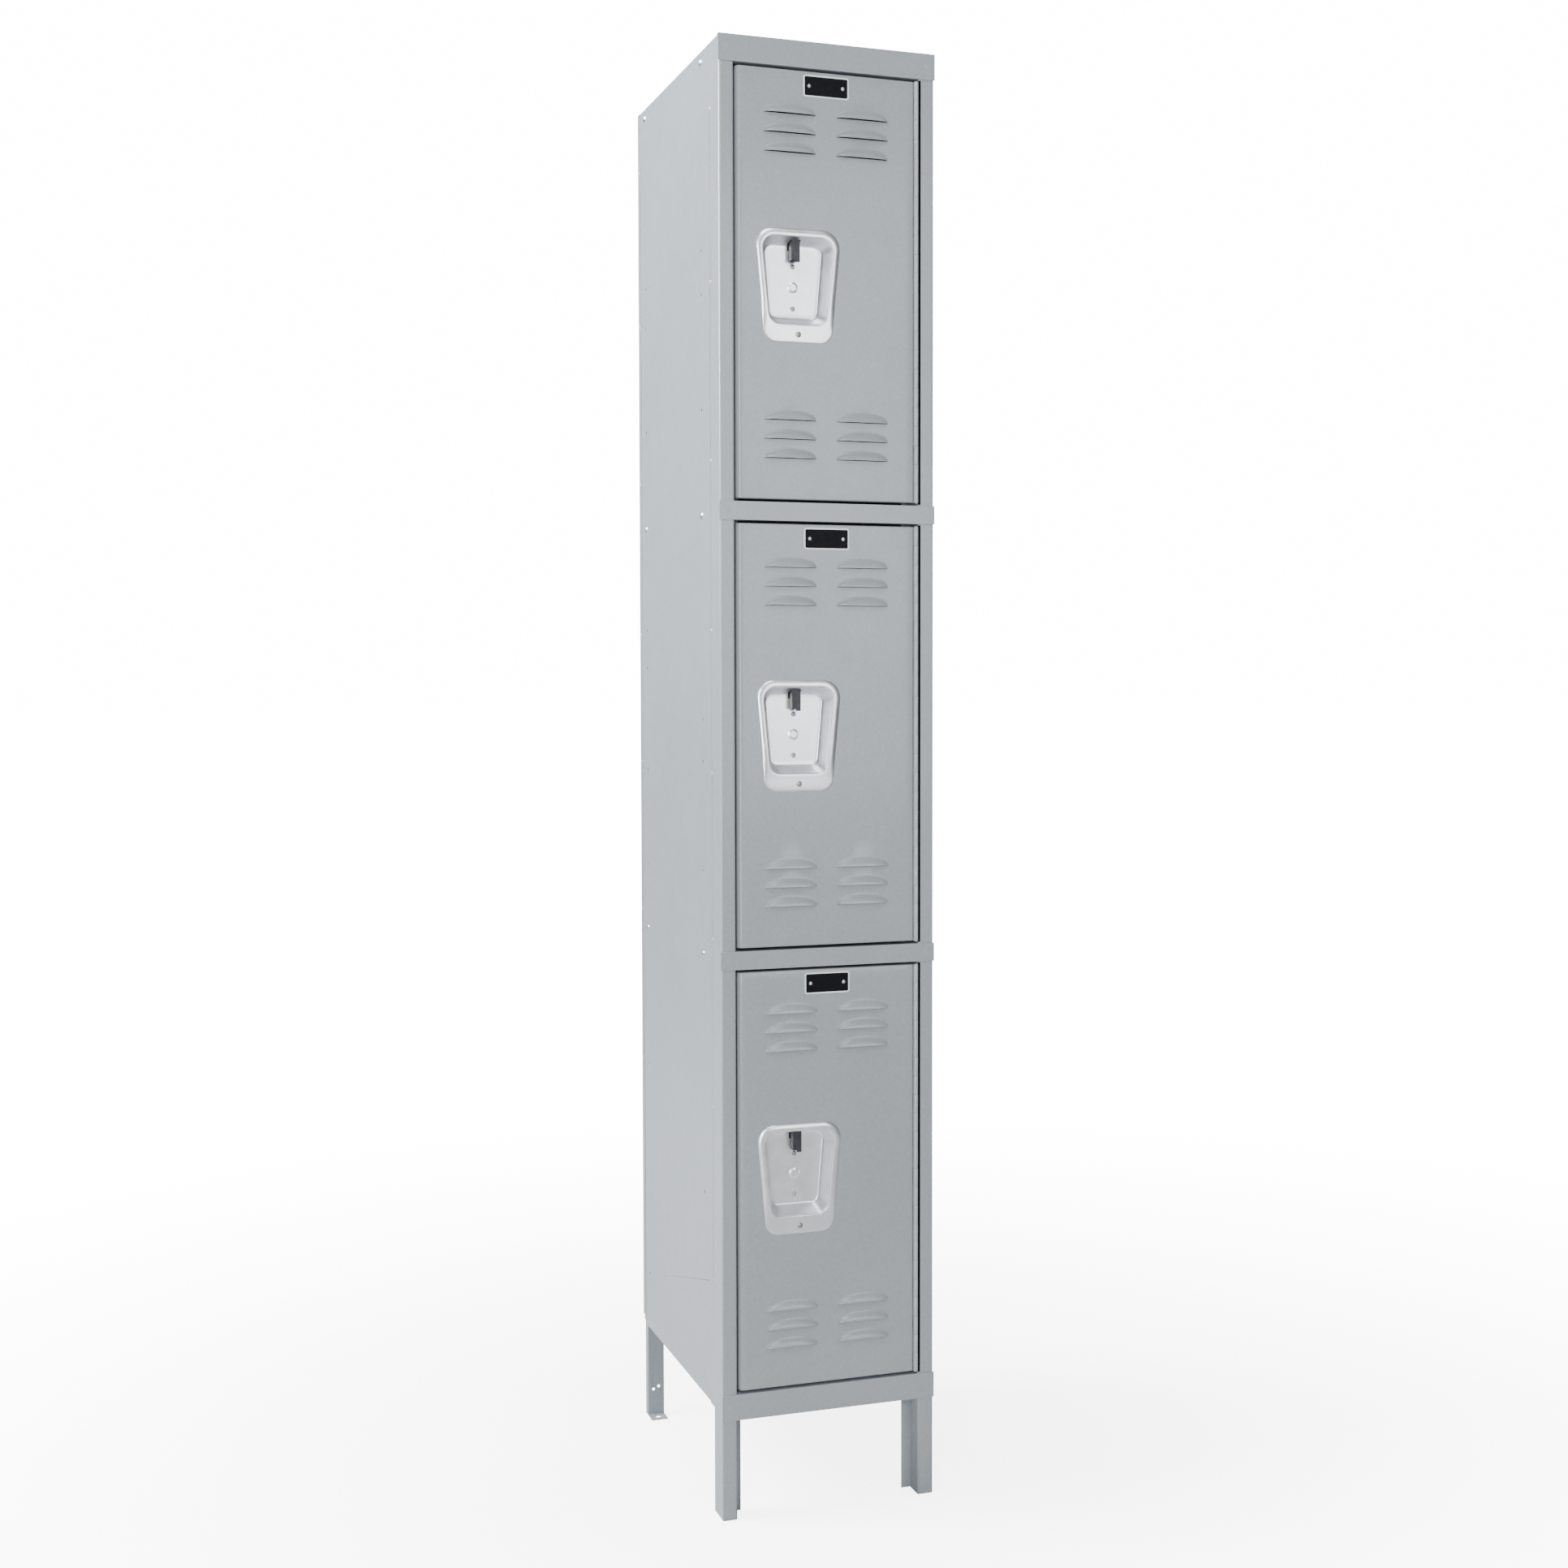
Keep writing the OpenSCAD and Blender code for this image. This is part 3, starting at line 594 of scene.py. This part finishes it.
def grow_shape(shape, grow):
    """Outline moved outwards by an amount."""
    wt, wb, top, low, rt, rb = shape
    return (wt + grow, wb + grow, top + grow, low - grow, max(rt + grow, 1), max(rb + grow, 1))


def trapezoid(shape, corner=12, side=8, end=4):
    """Round-cornered trapezoid as (x, z) in millimetres, anticlockwise from the bottom middle."""
    wt, wb, top, low, rt, rb = shape
    tx, tz, bx, bz = wt - rt, top - rt, wb - rb, low + rb
    dx, dz = tx - bx, tz - bz
    lean = math.atan2(dz, dx) - math.acos((rb - rt) / math.hypot(dx, dz))
    right = [(bx * k / end, low) for k in range(end)]
    for k in range(corner + 1):
        a = -math.pi / 2 + (lean + math.pi / 2) * k / corner
        right.append((bx + rb * math.cos(a), bz + rb * math.sin(a)))
    x0, z0 = right[-1]
    x1, z1 = tx + rt * math.cos(lean), tz + rt * math.sin(lean)
    right += [(x0 + (x1 - x0) * k / side, z0 + (z1 - z0) * k / side) for k in range(1, side)]
    for k in range(corner + 1):
        a = lean + (math.pi / 2 - lean) * k / corner
        right.append((tx + rt * math.cos(a), tz + rt * math.sin(a)))
    right += [(tx * (1 - k / end), top) for k in range(1, end + 1)]
    left = [(-x, z) for x, z in reversed(right[1:-1])]
    return right + left


def bead_part(z):
    """Part of its full rise that the bead has at a height; it sinks below the mouth."""
    foot, length, least = BEAD_SINK
    t = min(1.0, max(0.0, (z - foot) / length))
    return least + (1 - least) * t * t * (3 - 2 * t)


def cup_rings(floor_y):
    """Rings of a cup as (outline, depth, rise of the bead), from flange edge to floor."""
    bead_steps, roll_steps, wall_steps, foot_steps = 12, 5, 6, 6
    rings = [(grow_shape(CUP_FLANGE, grow), y, 0) for grow, y in FLANGE_EDGE]
    rings.append((blend_shape(CUP_FLANGE, CUP_BEAD, FLANGE_ROUND[0]), FLANGE_ROUND[1], 0))
    for k in range(bead_steps + 1):
        t = k / bead_steps
        rise = BEAD_H * math.sin(math.pi * BEAD_WAVE * t) ** BEAD_FULLNESS
        rings.append((blend_shape(CUP_BEAD, CUP_MOUTH, t), FLANGE_Y, rise))
    mouth_rise = rings[-1][2]
    for k in range(1, roll_steps + 1):
        a = math.pi / 2 * k / roll_steps
        rings.append((grow_shape(CUP_MOUTH, -MOUTH_ROLL[0] * math.sin(a)),
                      FLANGE_Y + MOUTH_ROLL[1] * (1 - math.cos(a)), mouth_rise))
    wall_top, wall_y = rings[-1][:2]
    for k in range(1, wall_steps + 1):
        t = k / wall_steps
        rings.append((blend_shape(wall_top, CUP_FLOOR, t),
                      wall_y + (floor_y - FOOT_R - wall_y) * t, mouth_rise * (1 - t)))
    for k in range(1, foot_steps + 1):
        a = math.pi / 2 * k / foot_steps
        rings.append((grow_shape(CUP_FLOOR, -FOOT_R * (1 - math.cos(a))),
                      floor_y - FOOT_R + FOOT_R * math.sin(a), 0))
    rings.append((grow_shape(CUP_FLOOR, -FLOOR_INSET), floor_y, 0))
    return rings


def recess_cup(i):
    """Pressed stainless cup: flange, rolled bead, tapering wall, rounded floor and lift slot."""
    lo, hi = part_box(f"recess_cup_{i}")
    lift_lo, lift_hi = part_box(f"finger_lift_{i}")
    cup_x = (lo.x + hi.x) / 2
    mid_z = (lo.z + hi.z) / 2
    rings = cup_rings((hi.y - face_y) / MM - FLOOR_BACK)
    verts = []
    for shape, y, rise in rings:
        verts += [(cup_x + x * MM, face_y + (y - rise * bead_part(z)) * MM, mid_z + z * MM)
                  for x, z in trapezoid(shape)]
    n = len(verts) // len(rings)
    faces = tube_faces(n, len(rings)) + end_caps(n, len(rings))[1:]
    cup = make_object(f"handle_cup_{i}", verts, faces, STAINLESS)
    thicken(cup, CUP_SHEET)
    cutter = box_object("cup_cutter",
                        (lift_lo.x - SLOT_GAP, lift_lo.y - SLOT_GAP, mid_z + SLOT_Z[0]),
                        (lift_hi.x + SLOT_GAP, hi.y + 5 * MM, mid_z + SLOT_Z[1]))
    slot = cup.modifiers.new("slot", "BOOLEAN")
    slot.operation = "DIFFERENCE"
    slot.solver = "EXACT"
    slot.object = cutter
    bake_modifiers(cup, 40)
    bpy.data.objects.remove(cutter)
    finish_piece(cup, f"door_{i}", "stainless", f"recess_cup_{i}")


def box_object(name, lo, hi):
    """Plain box, used as a cutter and then removed."""
    corners = [(x, y, z) for x in (lo[0], hi[0]) for y in (lo[1], hi[1]) for z in (lo[2], hi[2])]
    faces = [(0, 1, 3, 2), (4, 6, 7, 5), (0, 4, 5, 1), (2, 3, 7, 6), (0, 2, 6, 4), (1, 5, 7, 3)]
    return make_object(name, corners, faces, STAINLESS)


# ---------- number plates ----------

PLATE_RIM_W = 2.0 * MM
PLATE_CORNER_R = 3.4 * MM
PLATE_ROLL = 0.4 * MM                         # depth of the rim's rolled front
PLATE_BACK = 0.02 * MM                        # plate's back in front of the CAD plate's back
FIELD_Y = 0.3 * MM                            # field behind the rim's front
FIELD_CHAMFER = 0.1 * MM


def rounded_rectangle(half_w, half_h, r, steps=8):
    """Outline of a rounded rectangle as (x, z)."""
    out = []
    for cx, cz, start in ((1, -1, -90), (1, 1, 0), (-1, 1, 90), (-1, -1, 180)):
        for k in range(steps + 1):
            a = math.radians(start + 90 * k / steps)
            out.append((cx * (half_w - r) + r * math.cos(a), cz * (half_h - r) + r * math.sin(a)))
    return out


def loft(name, rings, centre, material, smooth_angle=35):
    """Closed solid through rings of (outline, y), capped at both ends."""
    verts = [(centre.x + x, y, centre.z + z) for outline, y in rings for x, z in outline]
    n = len(rings[0][0])
    faces = tube_faces(n, len(rings)) + end_caps(n, len(rings))
    obj = make_object(name, verts, faces, material, smooth_angle)
    bm = bmesh.new()
    bm.from_mesh(obj.data)
    bmesh.ops.recalc_face_normals(bm, faces=bm.faces)
    bm.to_mesh(obj.data)
    bm.free()
    return obj


def number_plate(i):
    """Card holder with a bright rolled rim round a blank black field."""
    lo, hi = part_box(f"number_plate_{i}")
    centre = (lo + hi) / 2
    half_w, half_h = (hi.x - lo.x) / 2, (hi.z - lo.z) / 2
    base_y, roll_y, field_y = hi.y - PLATE_BACK, lo.y + PLATE_ROLL, lo.y + FIELD_Y

    def outline(inset):
        return rounded_rectangle(half_w - inset, half_h - inset, PLATE_CORNER_R - inset * 0.8)

    rings = [(outline(0), base_y), (outline(0), roll_y)]
    steps = 7
    for k in range(1, steps):
        a = math.pi * k / steps
        rings.append((outline(PLATE_RIM_W / 2 * (1 - math.cos(a))),
                      lo.y + PLATE_ROLL * (1 - math.sin(a))))
    rings += [(outline(PLATE_RIM_W), roll_y), (outline(PLATE_RIM_W), base_y - 0.1 * MM)]
    rim = loft(f"number_plate_rim_{i}", rings, centre, RIM, 50)
    finish_piece(rim, f"door_{i}", "stainless", f"number_plate_{i}")

    foot, edge, face = (outline(PLATE_RIM_W + inset * MM) for inset in (0.02, 0.02, 0.15))
    rings = [(foot, base_y - 0.12 * MM), (edge, field_y + FIELD_CHAMFER), (face, field_y)]
    field = loft(f"number_plate_field_{i}", rings, centre, BLACK)
    finish_piece(field, f"door_{i}", "plate_black")


# ---------- weld marks ----------

# Radius and depth of a mark's rings in millimetres, from its middle to its skirt
WELD_PROFILE = ((0.0, -0.02), (1.2, -0.04), (1.9, -0.16), (2.3, -0.20), (2.8, -0.12),
                (3.2, 0.0), (2.9, 0.3))
WELD_INSET = (10 * MM, 11 * MM)               # from the outer edge of the left, right upright


def weld_mark(x, y, z, steps=20):
    """Points and faces of one shallow ring, closed at its back."""
    verts = [(x, y + WELD_PROFILE[0][1] * MM, z)]
    for r, depth in WELD_PROFILE[1:]:
        for k in range(steps):
            a = 2 * math.pi * k / steps
            verts.append((x + r * MM * math.cos(a), y + depth * MM, z + r * MM * math.sin(a)))
    faces = [(0, 1 + k, 1 + (k + 1) % steps) for k in range(steps)]
    for ring in range(len(WELD_PROFILE) - 2):
        start = 1 + ring * steps
        for k in range(steps):
            b = (k + 1) % steps
            faces.append((start + k, start + steps + k, start + steps + b, start + b))
    faces.append(tuple(reversed(range(len(verts) - steps, len(verts)))))
    return verts, faces


def weld_marks():
    """Shallow ring left by each spot weld where a cross rail laps an upright."""
    places = (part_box("upright_left")[0].x + WELD_INSET[0],
              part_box("upright_right")[1].x - WELD_INSET[1])
    verts, faces = [], []
    for rail in ("top_rail", "middle_rail_upper", "middle_rail_lower", "bottom_rail"):
        lo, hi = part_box(rail)
        for x in places:
            mark_verts, mark_faces = weld_mark(x, lo.y, (lo.z + hi.z) / 2)
            faces += [tuple(len(verts) + corner for corner in face) for face in mark_faces]
            verts += mark_verts
    marks = make_object("weld_marks", verts, faces, PAINT, 60)
    finish_piece(marks, "cabinet", "paint_grey")


# ---------- carried-over CAD nodes ----------

# Nodes whose edges are broken less or not at all, and nodes with a material of their own: paler
# hinge leaves as painted highlight, darker cup screws as painted shade
BEVEL_WIDTHS = {"frame_hinge_leaf": 0.25, "door_hinge_leaf": 0.25, "coat_hooks": 0.3,
                "finger_lift": 0.3, "latch_bar": 0.3, "latch_strikes": 0.3}
BEVEL_WIDTH = 0.4                             # millimetres, as above
PLAIN_EDGES = ("rivets", "bolts", "nuts", "screws", "plug", "pin", "silencers")
SPECIAL_MATERIALS = {"cup_screws": SHADED_SCREW_ZINC, "frame_hinge_leaf": HIGHLIT_HINGE_PAINT,
                     "door_hinge_leaf": HIGHLIT_HINGE_PAINT}


def dress_cad_nodes():
    """Gives every CAD node its material and breaks the sharp edges of its sheet."""
    slots = {s["node"]: s["material_slot"] for s in frame["record"]["subparts"]}
    for name, obj in frame["nodes"].items():
        kind = name.rstrip("_123")
        for slot in obj.material_slots:
            slot.material = SPECIAL_MATERIALS.get(kind, SLOT_MATERIALS[slots[name]])
        if any(word in name for word in PLAIN_EDGES):
            continue
        weld = obj.modifiers.new("weld", "WELD")
        weld.merge_threshold = 0.005 * MM
        bevel = obj.modifiers.new("edges", "BEVEL")
        bevel.width = BEVEL_WIDTHS.get(kind, BEVEL_WIDTH) * MM
        bevel.segments = 2
        bevel.limit_method = "ANGLE"
        bevel.angle_limit = math.radians(40)
        bevel.harden_normals = True


# ---------- floor, light and camera ----------

SEEN_WHITE = 16.0                             # strength at which the camera sees pure white
NEAR_GLOW = 5.0                               # floor's strength beside the object
FADE = (0.1, 3.0)                             # radii between which it reaches pure white
FLOOR_CAST = grey(0.42)                       # floor that lights the object
SKY_CAST, SKY_TINT = 0.25, (0.94, 0.97, 1.0)  # sky that lights the object
FLOOR_HALF = 60.0
FLOOR_GAP = 0.5 * MM                          # floor below the feet

# Name, place, aim, width and height, watts
LIGHTS = (
    ("side_light", (-3.2, 0.6, 3.3), (0, 0, 1.5), (2.0, 2.0), 540),
    ("strip_light", (-1.9, -3.7, 1.5), (0, 0, 1.2), (0.4, 2.6), 112),
    ("top_light", (-0.3, -2.4, 4.0), (0, 0, 1.3), (1.6, 1.6), 52),
    ("handle_light", (0.92, -3.3, 1.65), (0, 0, 1.2), (0.8, 1.8), 27),
    ("back_light", (2.6, 3.8, 2.6), (0, 0, 1.0), (3.0, 3.0), 120),
)

CAMERA_PLACE = (-0.9203, -3.0007, 1.1485)
CAMERA_DOWN, CAMERA_RIGHT = 2.461, 20.043     # degrees that it is turned
CAMERA_LENS, CAMERA_SENSOR = 49.67, 36        # millimetres
CAMERA_SHIFT = (-0.0694, -0.0140)


def camera_only(nodes, links, seen, cast):
    """Shader that shows one shader to the camera and lights the scene with another."""
    path = nodes.new("ShaderNodeLightPath")
    mix = nodes.new("ShaderNodeMixShader")
    links.new(path.outputs["Is Camera Ray"], mix.inputs["Fac"])
    links.new(cast, mix.inputs[1])
    links.new(seen, mix.inputs[2])
    return mix.outputs["Shader"]


def floor_material():
    """Pale floor that glows towards white away from the object."""
    mat, shader = new_material("pale_floor")
    nodes, links = mat.node_tree.nodes, mat.node_tree.links
    out = next(n for n in nodes if n.type == "OUTPUT_MATERIAL")
    coords = object_coords(mat)
    links.new(ramp(mat, noise(mat, coords, 2.0), grey(0.88), grey(0.92)),
              shader.inputs["Base Color"])
    shader.inputs["Roughness"].default_value = 0.9
    distance = nodes.new("ShaderNodeVectorMath")
    distance.operation = "LENGTH"
    links.new(coords, distance.inputs[0])
    fade = add_node(mat, "ShaderNodeMapRange", From_Min=FADE[0], From_Max=FADE[1],
                    To_Min=NEAR_GLOW, To_Max=SEEN_WHITE)
    fade.interpolation_type = "SMOOTHSTEP"
    links.new(distance.outputs["Value"], fade.inputs["Value"])
    glow = nodes.new("ShaderNodeEmission")
    links.new(fade.outputs["Result"], glow.inputs["Strength"])
    both = nodes.new("ShaderNodeAddShader")
    links.new(shader.outputs["BSDF"], both.inputs[0])
    links.new(glow.outputs["Emission"], both.inputs[1])
    dim = add_node(mat, "ShaderNodeBsdfDiffuse", Color=(*FLOOR_CAST, 1))
    surface = camera_only(nodes, links, both.outputs["Shader"], dim.outputs["BSDF"])
    links.new(surface, out.inputs["Surface"])
    return mat


def stage():
    """Wide floor just below the feet."""
    half = FLOOR_HALF
    corners = [(-half, -half, 0), (half, -half, 0), (half, half, 0), (-half, half, 0)]
    floor = make_object("floor", corners, [(0, 1, 2, 3)], floor_material())
    floor.location.z = cad_lo.z - FLOOR_GAP


def area_light(name, location, target, size, power):
    """Soft light of a width and height aimed at a point, not itself seen by the camera."""
    light = bpy.data.lights.new(name, "AREA")
    light.shape = "RECTANGLE"
    light.size, light.size_y = size
    light.energy = power
    obj = bpy.data.objects.new(name, light)
    obj.location = location
    aim = Vector(target) - Vector(location)
    obj.rotation_euler = aim.to_track_quat("-Z", "Y").to_euler()
    obj.visible_camera = False
    bpy.context.scene.collection.objects.link(obj)


def background(nodes, strength, colour):
    """Background shader of one strength and colour."""
    node = nodes.new("ShaderNodeBackground")
    node.inputs["Color"].default_value = (*colour, 1)
    node.inputs["Strength"].default_value = strength
    return node.outputs["Background"]


def lights():
    """White surroundings, broad light on the left, and weaker light in front and behind."""
    world = bpy.data.worlds.new("studio")
    bpy.context.scene.world = world
    world.use_nodes = True
    nodes, links = world.node_tree.nodes, world.node_tree.links
    nodes.clear()
    out = nodes.new("ShaderNodeOutputWorld")
    seen = background(nodes, SEEN_WHITE, grey(1))
    cast = background(nodes, SKY_CAST, SKY_TINT)
    links.new(camera_only(nodes, links, seen, cast), out.inputs["Surface"])
    for light in LIGHTS:
        area_light(*light)


def camera():
    """Camera at the reference view's place, with the small shift that its framing needs."""
    data = bpy.data.cameras.new("camera")
    data.lens = CAMERA_LENS
    data.sensor_width = CAMERA_SENSOR
    data.shift_x, data.shift_y = CAMERA_SHIFT
    obj = bpy.data.objects.new("camera", data)
    obj.location = CAMERA_PLACE
    obj.rotation_euler = (math.radians(90 - CAMERA_DOWN), 0, math.radians(-CAMERA_RIGHT))
    bpy.context.scene.collection.objects.link(obj)
    bpy.context.scene.camera = obj


camera()
dress_cad_nodes()
for tier in TIERS:
    door_panel(tier)
    recess_cup(tier)
    number_plate(tier)
weld_marks()
stage()
lights()
